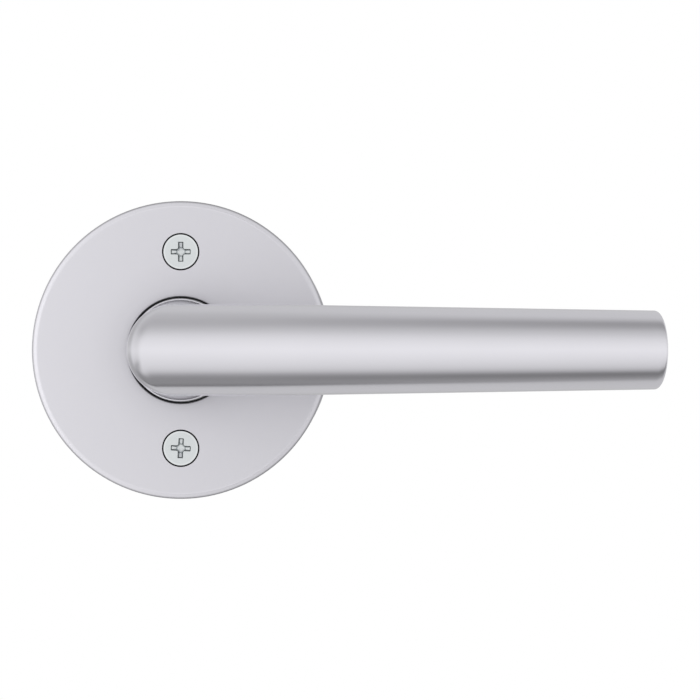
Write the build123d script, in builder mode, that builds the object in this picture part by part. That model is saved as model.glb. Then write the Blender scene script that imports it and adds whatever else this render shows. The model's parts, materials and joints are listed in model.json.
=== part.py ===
from build123d import *

import math
import os

# Passage lever lockset: two lever trims clamped on a door by two through-screws.
#
# Row frame: +Z up, +X along the levers, +Y through the door from the inside face to the outside
# face.  The origin is where the spindle axis crosses the door's inside face.
#
# Each trim piece is modelled once in a trim frame, with +Z pointing away from the door, +X along
# the lever and z = 0 on the door face.  It is then placed on each door face by that face's plane.
# All dimensions are in millimetres and degrees.

# ---------------------------------------------------------------- driving dimensions
DOOR_THICKNESS = 35.0
RUNNING_GAP = 0.10  # radial, between a turning piece and the piece that carries it
KEY_GAP = 0.05  # radial, between a keyed piece and its hub
SEAT_GAP = 0.02  # between pieces that are clamped together

ROSE_RADIUS = 33.35
ROSE_DEPTH = 10.0
ROSE_WALL = 1.6
ROSE_BEVEL = 1.1  # width of the shallow bevel round the face
ROSE_BEVEL_DROP = 0.4
ROSE_EDGE = 0.3
PLATE_FIT = 0.15  # radial, between the rose's wall and the plate's rim
NECK_HOLE_RADIUS = 11.95
NECK_HOLE_EDGE = 0.2
BEARING_RADIUS = 14.1  # ring under the rose face that centres the neck
BEARING_WALL = 1.45  # seat ring round the bearing
BEARING_LIFT = 0.1  # from the cage up to the seat ring

NECK_RADIUS = 11.55  # collar that turns in the rose
NECK_BEVEL = 0.3
COLLAR_STAND = 0.4  # straight collar above the rose face, below its rounded edge
COLLAR_EDGE = 0.25
NECK_TAPER_TOP = 34.0  # height at which the straight taper above the collar ends
NECK_LIFT = 0.3  # from the cage up to the neck's foot
ARM_RADIUS = 9.81  # of the elbow, and of the neck and arm where they leave it
CORNER_RADIUS = 4.3  # rounding of the elbow's outer corner
CORNER_STEP = 0.01  # by which the rounding stands below the neck and the arm
TIP_RADIUS = 8.46
ARM_HEIGHT = 50.0  # arm axis above the door face
SHOULDER_START = 10.3  # end of the arm's straight start, from the spindle axis
SHOULDER_LENGTH = 20.0  # from there to the arm's straight taper
ARM_LENGTH = 103.8  # spindle axis to the middle of the end face
END_SLANT = 13.3  # lean of the end face, so that its front edge reaches furthest
END_EDGE = 0.6

PLATE_BACK = 0.3  # the rose's rim alone bears on the door
PLATE_TOP = 1.5
PLATE_RIM_HEIGHT = 4.5
PLATE_RIM_WALL = 1.1
PLATE_EDGE = 0.5
LANCE_CIRCLE = 25.5  # two slots that key the plate in the press
LANCE_LENGTH = 11.0
LANCE_WIDTH = 3.2
RIVET_CIRCLE = 18.9
RIVET_RADIUS = 1.5
RIVET_HEAD_RADIUS = 2.5
RIVET_HEAD_HEIGHT = 0.8
RIVET_DOME = 0.56  # rounding of the riveted-over heads
RIVET_EDGE = 0.48  # rounding of the manufactured heads

BUSH_RADIUS = 9.45
FLANGE_RADIUS = 11.5
FLANGE_BACK = -1.3
FLANGE_EDGE = 0.3

HUB_RADIUS = 8.0
HUB_BACK = -4.4
HUB_FRONT = 28.5
HUB_FRONT_BEVEL = 0.6
HUB_BACK_BEVEL = 0.4
LEVER_KEY = 7.2  # key flat that drives the lever, from the axis
DRIVER_KEY = 6.7  # two key flats that carry the driver, from the axis
KEY_BLOCK = 4.0  # depth of the block that cuts a key flat
KEY_WIDTH = 20.0  # width of that block, wider than the hub
HUB_SHOULDER = 2.65  # height of the shoulder that stands on the driver
SHOULDER_RADIUS = 9.8
SHOULDER_THICKNESS = 1.0
BORE_SPARE = 1.0  # lever bore beyond the hub's end
SPINDLE_SIZE = 7.94
SPINDLE_REACH = 14.0  # beyond each door face
SPINDLE_EDGE = 0.5
CHAMBER_FLOOR = 16.0  # end of the hub's square hole and start of its round chamber
CHAMBER_RADIUS = 5.8

RING_BACK = -3.25
RING_THICKNESS = 1.0
RING_SEAT = 7.3
RING_RADIUS = 9.3
RING_EAR = 1.7
RING_EAR_CIRCLE = 9.9
RING_EAR_SPACING = 5.1
RING_EAR_HOLE = 0.68
RING_OPENING = 2.38
THRUST_RADIUS = 10.8

CAGE_RADIUS = 16.2
CAGE_WALL = 0.8
CAGE_TOP = 7.5
CAGE_EDGE = 0.9
CAGE_HOLE_GAP = 0.4  # radial, between the cage and the hub
EAR_RADIUS = 3.2
EAR_NECK = 4.0  # length of the straight part that joins an ear to the cup
STOP_ANGLE = 50.0  # lever travel each way
STOP_SPARE = 0.4  # angle left between lug and stop at the end of the travel
STOP_WIDTH = 5.0  # angle that each stop takes up
STOP_ROOT = 0.4  # by which a stop runs into the wall
STOP_DEPTH = 1.2
LUG_WIDTH = 3.0
LUG_REACH = 15.1
DRIVER_RADIUS = 11.3
DRIVER_THICKNESS = 1.0
TAB_WIDTH = 3.9  # cage tab and driver tab, between the spring's legs
DRIVER_TAB = (13.75, 14.35)  # from the axis
CAGE_TAB = 14.5
TAB_ROOT = 0.3  # by which the cage tab runs into the wall
DRIVER_ROOT = 1.0  # by which the driver's arms run into its disc
TAB_HEIGHT = 3.7

WIRE_RADIUS = 0.6
COIL_RADIUS = 12.75
COIL_PITCH = 1.3
COIL_TURNS = 2
COIL_FLOOR = 3.5  # height of the first turn's wire centre
LEG_OFFSET = 2.65  # each spring leg from the middle of the tabs
LEG_BEND = 1.5
LEG_END = 14.9

CATCH_HEIGHT = 22.0
CATCH_RADIUS = 1.5
CATCH_TIP = 9.4  # catch tip from the spindle axis, standing in the lever's hole
CATCH_HEAD = 5.2
CATCH_HEAD_RADIUS = 2.3
CATCH_HEAD_THICKNESS = 1.2
CATCH_HOLE_GAP = 0.2  # radial, in the lever's wall
CATCH_WIRE = 0.22
CATCH_COIL = 1.7
CATCH_TURNS = 6.5

SCREW_OFFSET = 22.0  # each through-screw from the spindle axis
SCREW_RADIUS = 2.08
SCREW_LENGTH = 28.58
SCREW_BOSS = 5.5
SCREW_HOLE_GAP = 0.35  # radial, round the plain shank and the posts' riveted ends
HEAD_RADIUS = 3.90
HEAD_RIM = 0.75  # straight edge between the head's top and its cone
HEAD_BEVEL = 0.1
SINK_RADIUS = 4.20
SINK_STEP = 0.45  # straight wall at the mouth of the countersink
HEAD_ANGLE = 82.0
PLAIN_SHANK = 9.0
THREAD_PITCH = 0.794
THREAD_DEPTH = 0.42
THREAD_FLANK = 0.4  # share of the pitch that each flank takes
RECESS_DEPTH = 1.9
RECESS_MOUTH = (4.35, 1.15)  # span and width of the cross at the head's top
RECESS_FLOOR = (1.9, 0.7)  # and at its floor
RECESS_MIDDLE = 1.3  # size of the middle, in wing widths
RECESS_TURN = -3.3  # how far the lower screw stopped from upright
POST_RADIUS = 3.6
POST_LENGTH = 27.0
POST_EDGE = 0.5
POST_HEAD_RADIUS = 4.0
POST_BORE = 12.6  # depth of the threaded bore

# ---------------------------------------------------------------- worked-out dimensions
CORNER_AXIS = ARM_RADIUS - CORNER_RADIUS  # centre of the corner's rounding, from each axis
NECK_FOOT = CAGE_TOP + NECK_LIFT
BEARING_FOOT = CAGE_TOP + BEARING_LIFT
BORE_RADIUS = HUB_RADIUS + KEY_GAP
FACE_UNDERSIDE = ROSE_DEPTH - ROSE_WALL
CAGE_FLOOR = PLATE_TOP + SEAT_GAP
CAGE_INNER = CAGE_RADIUS - CAGE_WALL
CAGE_CEILING = CAGE_TOP - CAGE_WALL
SQUARE_SIZE = SPINDLE_SIZE + 2 * RUNNING_GAP
DRIVER_BACK = PLATE_TOP + RUNNING_GAP
SHANK_RADIUS = SCREW_RADIUS + SCREW_HOLE_GAP
SINK_SLOPE = math.tan(math.radians(HEAD_ANGLE / 2))
SINK_DEPTH = (SINK_RADIUS - HEAD_RADIUS) / SINK_SLOPE  # from the straight wall to the head's seat
HEAD_TOP = ROSE_DEPTH - SINK_STEP - SINK_DEPTH + HEAD_RIM + SEAT_GAP

INSIDE_FACE = Plane(origin=(0, 0, 0), x_dir=(1, 0, 0), z_dir=(0, -1, 0))
OUTSIDE_FACE = Plane(origin=(0, DOOR_THICKNESS, 0), x_dir=(1, 0, 0), z_dir=(0, 1, 0))
DOOR_FACES = {"inside": INSIDE_FACE, "outside": OUTSIDE_FACE}
CATCH_AXIS = Plane(origin=(0, 0, CATCH_HEIGHT), x_dir=(0, 1, 0), z_dir=(-1, 0, 0))


def ring_part(outer, inner, low, high):
    """A flat ring round the spindle axis between two heights."""
    with BuildPart() as ring:
        with BuildSketch(Plane.XY.offset(low)):
            Circle(outer)
            Circle(inner, mode=Mode.SUBTRACT)
        extrude(amount=high - low)
    return ring.part


# ---------------------------------------------------------------- pieces of one trim
def make_elbow():
    """Mitred elbow whose outer corner has the rounding that a ball leaves as it rolls round it."""
    side = 2 * ARM_RADIUS
    with BuildPart() as neck_end:
        with BuildSketch(Plane.XY.offset(ARM_HEIGHT - ARM_RADIUS)):
            Circle(ARM_RADIUS)
        extrude(amount=side)
        with BuildSketch(Plane.YZ.offset(-ARM_RADIUS)):
            Rectangle(side, ARM_HEIGHT, align=(Align.CENTER, Align.MIN))
            with Locations((0, ARM_HEIGHT)):
                Ellipse(ARM_RADIUS, CORNER_AXIS)
        extrude(amount=side, mode=Mode.INTERSECT)

    with BuildPart() as arm_start:
        with BuildSketch(Plane.YZ.offset(-ARM_RADIUS)):
            with Locations((0, ARM_HEIGHT)):
                Circle(ARM_RADIUS)
        extrude(amount=SHOULDER_START + ARM_RADIUS)
        with BuildSketch(Plane.XY.offset(ARM_HEIGHT - ARM_RADIUS)):
            Rectangle(SHOULDER_START, side, align=(Align.MIN, Align.CENTER))
            Ellipse(CORNER_AXIS, ARM_RADIUS)
        extrude(amount=side, mode=Mode.INTERSECT)

    mitre = Plane(origin=(0, 0, ARM_HEIGHT), x_dir=(-1, 0, 1), z_dir=(1, 0, 1))
    with BuildPart() as corner:
        with BuildLine(mitre) as route:
            EllipticalCenterArc((0, 0), math.sqrt(2) * CORNER_AXIS, CORNER_AXIS, -90, arc_size=180)
        with BuildSketch(Plane(origin=route.line @ 0, z_dir=route.line % 0)):
            Circle(CORNER_RADIUS - CORNER_STEP)
        sweep(path=route.line)
    return neck_end.part + arm_start.part + corner.part


def make_lever():
    """Cast lever: keyed neck, tight elbow and a slim arm that tapers to a slanted end."""
    taper = (ARM_RADIUS - TIP_RADIUS) / (ARM_LENGTH - SHOULDER_START - SHOULDER_LENGTH / 2)
    shoulder_end = (
        SHOULDER_START + SHOULDER_LENGTH,
        ARM_HEIGHT + ARM_RADIUS - taper * SHOULDER_LENGTH / 2,
    )
    collar_top = ROSE_DEPTH + COLLAR_STAND
    lip = NECK_RADIUS - COLLAR_EDGE
    spare = 6.0  # extra arm length that the slanted end cut removes
    lean = math.radians(END_SLANT)
    elbow = make_elbow()
    with BuildPart() as lever:
        with BuildSketch(Plane.XZ):
            with BuildLine():
                Line((0, NECK_FOOT), (NECK_RADIUS - NECK_BEVEL, NECK_FOOT))
                Line((NECK_RADIUS - NECK_BEVEL, NECK_FOOT), (NECK_RADIUS, NECK_FOOT + NECK_BEVEL))
                Line((NECK_RADIUS, NECK_FOOT + NECK_BEVEL), (NECK_RADIUS, collar_top))
                CenterArc((lip, collar_top), COLLAR_EDGE, 0, 90)
                Polyline(
                    (lip, collar_top + COLLAR_EDGE),
                    (ARM_RADIUS, NECK_TAPER_TOP),
                    (ARM_RADIUS, ARM_HEIGHT - ARM_RADIUS),
                    (0, ARM_HEIGHT - ARM_RADIUS),
                    (0, NECK_FOOT),
                )
            make_face()
        revolve(axis=Axis.Z)
        add(elbow)
        with BuildSketch(Plane.XZ):
            with BuildLine():
                Spline(
                    (SHOULDER_START, ARM_HEIGHT + ARM_RADIUS),
                    shoulder_end,
                    tangents=((1, 0), (1, -taper)),
                )
                Polyline(
                    shoulder_end,
                    (ARM_LENGTH + spare, ARM_HEIGHT + TIP_RADIUS - taper * spare),
                    (ARM_LENGTH + spare, ARM_HEIGHT),
                    (SHOULDER_START, ARM_HEIGHT),
                    (SHOULDER_START, ARM_HEIGHT + ARM_RADIUS),
                )
            make_face()
        revolve(axis=Axis((0, 0, ARM_HEIGHT), (1, 0, 0)))

        end_plane = Plane(
            origin=(ARM_LENGTH, 0, ARM_HEIGHT),
            z_dir=(math.cos(lean), 0, -math.sin(lean)),
        )
        split(bisect_by=end_plane, keep=Keep.BOTTOM)
        fillet(lever.faces().sort_by(Axis.X)[-1].edges(), END_EDGE)

        with BuildSketch(Plane.XY.offset(NECK_FOOT)):
            Circle(BORE_RADIUS)
            with Locations((LEVER_KEY + KEY_GAP, 0)):
                Rectangle(
                    KEY_BLOCK, KEY_WIDTH, align=(Align.MIN, Align.CENTER), mode=Mode.SUBTRACT
                )
        extrude(amount=HUB_FRONT + BORE_SPARE - NECK_FOOT, mode=Mode.SUBTRACT)
        with BuildSketch(CATCH_AXIS.offset(LEVER_KEY)):
            Circle(CATCH_RADIUS + CATCH_HOLE_GAP)
        extrude(amount=NECK_RADIUS - LEVER_KEY, mode=Mode.SUBTRACT)
    return lever.part


def make_rose(with_screws):
    """Round rose: a shallow cup with a bevelled face and a seat ring for the neck bearing."""
    seat_radius = BEARING_RADIUS + KEY_GAP
    with BuildPart() as rose:
        with BuildSketch(Plane.XZ):
            with BuildLine():
                Polyline(
                    (0, 0),
                    (ROSE_RADIUS, 0),
                    (ROSE_RADIUS, ROSE_DEPTH - ROSE_BEVEL_DROP),
                    (ROSE_RADIUS - ROSE_BEVEL, ROSE_DEPTH),
                    (0, ROSE_DEPTH),
                    close=True,
                )
            make_face()
        revolve(axis=Axis.Z)
        fillet(rose.edges().filter_by(GeomType.CIRCLE).group_by(Axis.Z)[-2], ROSE_EDGE)
        with BuildSketch():
            Circle(ROSE_RADIUS - ROSE_WALL)
        extrude(amount=FACE_UNDERSIDE, mode=Mode.SUBTRACT)
        add(ring_part(seat_radius + BEARING_WALL, seat_radius, BEARING_FOOT, FACE_UNDERSIDE))
        if with_screws:
            with BuildSketch(Plane.XY.offset(PLATE_TOP + SEAT_GAP)):
                with GridLocations(0, 2 * SCREW_OFFSET, 1, 2):
                    Circle(SCREW_BOSS)
            extrude(amount=FACE_UNDERSIDE - PLATE_TOP - SEAT_GAP)
            with BuildSketch(Plane.XY.offset(ROSE_DEPTH)):
                with GridLocations(0, 2 * SCREW_OFFSET, 1, 2):
                    Circle(SINK_RADIUS)
            extrude(amount=-SINK_STEP, mode=Mode.SUBTRACT)
            with Locations(Plane.XY.offset(ROSE_DEPTH - SINK_STEP)):
                with GridLocations(0, 2 * SCREW_OFFSET, 1, 2):
                    CounterSinkHole(SHANK_RADIUS, SINK_RADIUS, ROSE_DEPTH, HEAD_ANGLE)
        with BuildSketch():
            Circle(NECK_HOLE_RADIUS)
        extrude(amount=ROSE_DEPTH, mode=Mode.SUBTRACT)
        neck_hole = rose.faces().filter_by(GeomType.CYLINDER).sort_by(SortBy.DISTANCE)[0]
        chamfer(neck_hole.edges().filter_by(GeomType.CIRCLE).sort_by(Axis.Z)[-1], NECK_HOLE_EDGE)
    return rose.part


def make_mounting_plate():
    """Pressed plate behind the rose, with an upturned rim that the rose fits over."""
    rim_radius = ROSE_RADIUS - ROSE_WALL - PLATE_FIT
    with BuildPart() as plate:
        with BuildSketch(Plane.XY.offset(PLATE_BACK)):
            Circle(rim_radius)
        extrude(amount=PLATE_RIM_HEIGHT - PLATE_BACK)
        with BuildSketch(Plane.XY.offset(PLATE_TOP)):
            Circle(rim_radius - PLATE_RIM_WALL)
        extrude(amount=PLATE_RIM_HEIGHT, mode=Mode.SUBTRACT)
        with BuildSketch(Plane.XY.offset(PLATE_BACK)):
            Circle(BUSH_RADIUS)
            with GridLocations(0, 2 * SCREW_OFFSET, 1, 2):
                Circle(SHANK_RADIUS)
            with PolarLocations(RIVET_CIRCLE, 4, start_angle=45):
                Circle(RIVET_RADIUS)
            with PolarLocations(LANCE_CIRCLE, 2):
                SlotOverall(LANCE_LENGTH, LANCE_WIDTH, rotation=90)
        extrude(amount=PLATE_TOP, mode=Mode.SUBTRACT)
        fillet(plate.faces().sort_by(Axis.Z)[0].outer_wire().edges(), PLATE_EDGE)
    return plate.part


def make_plate_bushing():
    """Flanged bearing pressed into the plate from the door side."""
    with BuildPart() as bushing:
        with BuildSketch(Plane.XY.offset(FLANGE_BACK)):
            Circle(FLANGE_RADIUS)
        extrude(amount=PLATE_BACK - SEAT_GAP - FLANGE_BACK)
        with BuildSketch(Plane.XY.offset(FLANGE_BACK)):
            Circle(BUSH_RADIUS - SEAT_GAP)
        extrude(amount=PLATE_TOP - FLANGE_BACK)
        fillet(bushing.faces().sort_by(Axis.Z)[0].edges(), FLANGE_EDGE)
        with BuildSketch(Plane.XY.offset(FLANGE_BACK)):
            Circle(HUB_RADIUS + RUNNING_GAP)
        extrude(amount=PLATE_TOP - FLANGE_BACK, mode=Mode.SUBTRACT)
    return bushing.part


def make_rose_bearing():
    """Plastic ring under the rose face that centres the lever's neck."""
    low = BEARING_FOOT + SEAT_GAP
    return ring_part(BEARING_RADIUS, NECK_RADIUS + RUNNING_GAP, low, FACE_UNDERSIDE - SEAT_GAP)


def make_spring_cage():
    """Pressed cup over the return spring: four riveted ears, a spring tab and two stops."""
    stop_radius = CAGE_INNER - STOP_DEPTH / 2
    lug_half_angle = math.degrees(math.asin(LUG_WIDTH / 2 / (CAGE_INNER - STOP_DEPTH)))
    stop_middle = STOP_ANGLE + lug_half_angle + STOP_SPARE + STOP_WIDTH / 2
    with BuildPart() as cage:
        with BuildSketch(Plane.XY.offset(CAGE_FLOOR)):
            Circle(CAGE_RADIUS)
        extrude(amount=CAGE_TOP - CAGE_FLOOR)
        fillet(cage.faces().sort_by(Axis.Z)[-1].edges(), CAGE_EDGE)
        with BuildSketch(Plane.XY.offset(CAGE_FLOOR)):
            with PolarLocations(RIVET_CIRCLE, 4, start_angle=45):
                Circle(EAR_RADIUS)
            with PolarLocations(RIVET_CIRCLE - EAR_NECK / 2, 4, start_angle=45):
                Rectangle(EAR_NECK, 2 * EAR_RADIUS)
        extrude(amount=CAGE_WALL)
        with BuildSketch(Plane.XY.offset(CAGE_FLOOR)):
            Circle(CAGE_INNER)
        extrude(amount=CAGE_CEILING - CAGE_FLOOR, mode=Mode.SUBTRACT)
        with BuildSketch(Plane.XY.offset(CAGE_FLOOR)):
            with PolarLocations(RIVET_CIRCLE, 4, start_angle=45):
                Circle(RIVET_RADIUS)
        extrude(amount=CAGE_WALL, mode=Mode.SUBTRACT)
        # The spring tab hangs from the ceiling at the wall, between the spring's legs.
        with BuildSketch(Plane.XY.offset(CAGE_CEILING)):
            with Locations((0, CAGE_TAB)):
                Rectangle(
                    TAB_WIDTH, CAGE_INNER - CAGE_TAB + TAB_ROOT, align=(Align.CENTER, Align.MIN)
                )
        extrude(amount=-TAB_HEIGHT)
        # A stop on the wall on each side of the driver's lug.
        with BuildSketch(Plane.XY.offset(CAGE_FLOOR)):
            for side in (-1, 1):
                with PolarLocations(stop_radius, 1, start_angle=-90 + side * stop_middle):
                    Rectangle(STOP_DEPTH + STOP_ROOT, math.radians(STOP_WIDTH) * stop_radius)
        extrude(amount=CAGE_CEILING - CAGE_FLOOR)
        with BuildSketch(Plane.XY.offset(CAGE_CEILING)):
            Circle(HUB_RADIUS + CAGE_HOLE_GAP)
        extrude(amount=CAGE_WALL, mode=Mode.SUBTRACT)
    return cage.part


def make_cage_rivets():
    """Four rivets through the cage's ears and the plate."""
    ear_top = CAGE_FLOOR + CAGE_WALL + SEAT_GAP
    head_bottom = PLATE_BACK - SEAT_GAP - RIVET_HEAD_HEIGHT
    with BuildPart() as rivets:
        with BuildSketch(Plane.XY.offset(head_bottom), Plane.XY.offset(ear_top)):
            with PolarLocations(RIVET_CIRCLE, 4, start_angle=45):
                Circle(RIVET_HEAD_RADIUS)
        extrude(amount=RIVET_HEAD_HEIGHT)
        fillet(rivets.edges().group_by(Axis.Z)[-1], RIVET_DOME)
        fillet(rivets.edges().group_by(Axis.Z)[0], RIVET_EDGE)
        with BuildSketch(Plane.XY.offset(head_bottom)):
            with PolarLocations(RIVET_CIRCLE, 4, start_angle=45):
                Circle(RIVET_RADIUS - SEAT_GAP)
        extrude(amount=ear_top - head_bottom)
    return rivets.part


def make_driver():
    """Plate keyed to the hub: its tab winds the spring and its lug meets the stops."""
    tab_start, tab_end = DRIVER_TAB
    arm_start = DRIVER_RADIUS - DRIVER_ROOT
    key_block = HUB_RADIUS - DRIVER_KEY
    key_width = 2 * math.sqrt(HUB_RADIUS**2 - DRIVER_KEY**2)
    with BuildPart() as driver:
        with BuildSketch(Plane.XY.offset(DRIVER_BACK)):
            Circle(DRIVER_RADIUS)
            with Locations((0, arm_start)):
                Rectangle(TAB_WIDTH, tab_end - arm_start, align=(Align.CENTER, Align.MIN))
            with Locations((0, -arm_start)):
                Rectangle(LUG_WIDTH, LUG_REACH - arm_start, align=(Align.CENTER, Align.MAX))
            Circle(BORE_RADIUS, mode=Mode.SUBTRACT)
            with GridLocations(2 * (DRIVER_KEY + KEY_GAP) + key_block, 0, 2, 1):
                Rectangle(key_block, key_width + key_block)
        extrude(amount=DRIVER_THICKNESS)
        with BuildSketch(Plane.XY.offset(DRIVER_BACK + DRIVER_THICKNESS)):
            with Locations((0, tab_start)):
                Rectangle(TAB_WIDTH, tab_end - tab_start, align=(Align.CENTER, Align.MIN))
        extrude(amount=TAB_HEIGHT)
    return driver.part


def make_hub():
    """Drive tube: square hole for the spindle, shoulder, ring groove and catch chamber."""
    with BuildPart() as hub:
        with BuildSketch(Plane.XY.offset(HUB_BACK)):
            Circle(HUB_RADIUS)
        extrude(amount=HUB_FRONT - HUB_BACK)
        chamfer(hub.faces().sort_by(Axis.Z)[-1].edges(), HUB_FRONT_BEVEL)
        chamfer(hub.faces().sort_by(Axis.Z)[0].edges(), HUB_BACK_BEVEL)
        with BuildSketch(Plane.XY.offset(HUB_SHOULDER)):
            Circle(SHOULDER_RADIUS)
        extrude(amount=SHOULDER_THICKNESS)
        # Two flats carry the driver and run to the back end; one flat carries the lever.
        with BuildSketch(Plane.XY.offset(HUB_BACK)):
            with GridLocations(2 * DRIVER_KEY + KEY_BLOCK, 0, 2, 1):
                Rectangle(KEY_BLOCK, KEY_WIDTH)
        extrude(amount=HUB_SHOULDER - HUB_BACK, mode=Mode.SUBTRACT)
        with BuildSketch(Plane.XY.offset(NECK_FOOT)):
            with Locations((LEVER_KEY, 0)):
                Rectangle(KEY_BLOCK, KEY_WIDTH, align=(Align.MIN, Align.CENTER))
        extrude(amount=HUB_FRONT - NECK_FOOT, mode=Mode.SUBTRACT)
        with BuildSketch(Plane.XY.offset(RING_BACK - KEY_GAP)):
            Circle(SHOULDER_RADIUS)
            Circle(RING_SEAT, mode=Mode.SUBTRACT)
        extrude(amount=RING_THICKNESS + 2 * KEY_GAP, mode=Mode.SUBTRACT)
        with BuildSketch(Plane.XY.offset(HUB_BACK)):
            Rectangle(SQUARE_SIZE, SQUARE_SIZE)
        extrude(amount=CHAMBER_FLOOR - HUB_BACK, mode=Mode.SUBTRACT)
        with BuildSketch(Plane.XY.offset(CHAMBER_FLOOR)):
            Circle(CHAMBER_RADIUS)
        extrude(amount=HUB_FRONT - CHAMBER_FLOOR, mode=Mode.SUBTRACT)
        with BuildSketch(CATCH_AXIS.offset(CHAMBER_RADIUS / 2)):
            Circle(CATCH_RADIUS + RUNNING_GAP)
        extrude(amount=HUB_RADIUS, mode=Mode.SUBTRACT)
    return hub.part


def make_thrust_washer():
    """Washer between the retaining ring and the bushing flange."""
    low = RING_BACK + RING_THICKNESS + KEY_GAP
    return ring_part(THRUST_RADIUS, HUB_RADIUS + RUNNING_GAP, low, FLANGE_BACK - KEY_GAP)


def make_retaining_ring():
    """External snap ring with a gap and two pierced ears."""
    with BuildPart() as ring:
        with BuildSketch(Plane.XY.offset(RING_BACK)):
            Circle(RING_RADIUS)
            with Locations((0, -RING_EAR_CIRCLE)):
                with GridLocations(RING_EAR_SPACING, 0, 2, 1):
                    Circle(RING_EAR)
            Circle(RING_SEAT + KEY_GAP, mode=Mode.SUBTRACT)
            with Locations((0, -RING_EAR_CIRCLE)):
                Rectangle(RING_OPENING, RING_SEAT, mode=Mode.SUBTRACT)
                with GridLocations(RING_EAR_SPACING, 0, 2, 1):
                    Circle(RING_EAR_HOLE, mode=Mode.SUBTRACT)
        extrude(amount=RING_THICKNESS)
    return ring.part


def make_return_spring():
    """Two-turn torsion spring whose legs stand on both sides of the cage and driver tabs."""
    bend_x = LEG_OFFSET + LEG_BEND
    bend_y = math.sqrt((COIL_RADIUS + LEG_BEND) ** 2 - bend_x**2)
    off_top = math.degrees(math.atan2(bend_x, bend_y))
    rise = COIL_PITCH * (COIL_TURNS - 2 * off_top / 360)
    coil = Pos(Z=COIL_FLOOR) * Rot(Z=90 + off_top) * Helix(COIL_PITCH, rise, COIL_RADIUS)

    def leg(side, height, coil_end):
        """One straight leg and the bend that joins it to the coil."""
        tip = Vector(side * LEG_OFFSET, LEG_END, height)
        bend_start = Vector(side * LEG_OFFSET, bend_y, height)
        return [Line(tip, bend_start), TangentArc(bend_start, coil_end, tangent=(0, -1, 0))]

    with BuildPart() as spring:
        with BuildLine() as wire:
            add(leg(-1, COIL_FLOOR, coil @ 0))
            add(coil)
            add(leg(1, COIL_FLOOR + rise, coil @ 1))
        with BuildSketch(Plane(origin=(-LEG_OFFSET, LEG_END, COIL_FLOOR), z_dir=(0, -1, 0))):
            Circle(WIRE_RADIUS)
        sweep(path=wire.wires()[0])
    return spring.part


def make_lever_catch():
    """Sprung pin that stands in the lever's hole; pressing it in frees the lever."""
    with BuildPart() as catch:
        with BuildSketch(CATCH_AXIS.offset(CATCH_HEAD - CATCH_HEAD_THICKNESS)):
            Circle(CATCH_HEAD_RADIUS)
        extrude(amount=CATCH_HEAD_THICKNESS)
        with BuildSketch(CATCH_AXIS.offset(CATCH_HEAD)):
            Circle(CATCH_RADIUS)
        extrude(amount=CATCH_TIP - CATCH_HEAD)
        fillet(catch.faces().sort_by(Axis.X)[0].edges(), CATCH_RADIUS / 3)
    return catch.part


def make_catch_spring():
    """Small compression spring between the catch's head and the far wall of the hub."""
    wall = math.sqrt(CHAMBER_RADIUS**2 - (CATCH_COIL + CATCH_WIRE) ** 2)
    head = CATCH_HEAD - CATCH_HEAD_THICKNESS
    length = wall + head - 2 * CATCH_WIRE - 2 * KEY_GAP
    start = Plane(origin=(-head + CATCH_WIRE + KEY_GAP, 0, CATCH_HEIGHT), z_dir=(1, 0, 0))
    coil = start.location * Helix(length / CATCH_TURNS, length, CATCH_COIL)
    with BuildPart() as spring:
        with BuildLine() as wire:
            add(coil)
        with BuildSketch(Plane(origin=coil @ 0, z_dir=coil % 0)):
            Circle(CATCH_WIRE)
        sweep(path=wire.line, is_frenet=True)
    return spring.part


# ---------------------------------------------------------------- pieces that join the trims
def make_spindle():
    """Square bar through both hubs."""
    with BuildPart() as spindle:
        with BuildSketch(INSIDE_FACE.offset(SPINDLE_REACH)):
            Rectangle(SPINDLE_SIZE, SPINDLE_SIZE)
        extrude(amount=-(DOOR_THICKNESS + 2 * SPINDLE_REACH))
        chamfer(spindle.faces().filter_by(Axis.Y).edges(), SPINDLE_EDGE)
    return spindle.part


def make_posts():
    """Two threaded posts riveted to the outside plate, which the screws pull on."""
    shoulder = PLATE_BACK - SEAT_GAP
    with BuildPart() as posts:
        with BuildSketch(OUTSIDE_FACE.offset(shoulder)):
            with GridLocations(0, 2 * SCREW_OFFSET, 1, 2):
                Circle(POST_RADIUS)
        extrude(amount=-POST_LENGTH)
        chamfer(posts.edges().group_by(Axis.Y)[0], POST_EDGE)
        with BuildSketch(OUTSIDE_FACE.offset(shoulder)):
            with GridLocations(0, 2 * SCREW_OFFSET, 1, 2):
                Circle(SHANK_RADIUS - SEAT_GAP)
        extrude(amount=PLATE_TOP + SEAT_GAP - shoulder)
        with BuildSketch(OUTSIDE_FACE.offset(PLATE_TOP + SEAT_GAP)):
            with GridLocations(0, 2 * SCREW_OFFSET, 1, 2):
                Circle(POST_HEAD_RADIUS)
        extrude(amount=RIVET_HEAD_HEIGHT)
        with BuildSketch(OUTSIDE_FACE.offset(shoulder - POST_LENGTH)):
            with GridLocations(0, 2 * SCREW_OFFSET, 1, 2):
                Circle(SCREW_RADIUS + KEY_GAP)
        extrude(amount=POST_BORE, mode=Mode.SUBTRACT)
    return posts.part


def recess_sketch(span, width):
    """A cross with a wider middle, as a cross-head driver leaves it."""
    middle = RECESS_MIDDLE * width
    Rectangle(span, width)
    Rectangle(width, span)
    Rectangle(middle, middle, rotation=45)


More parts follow.
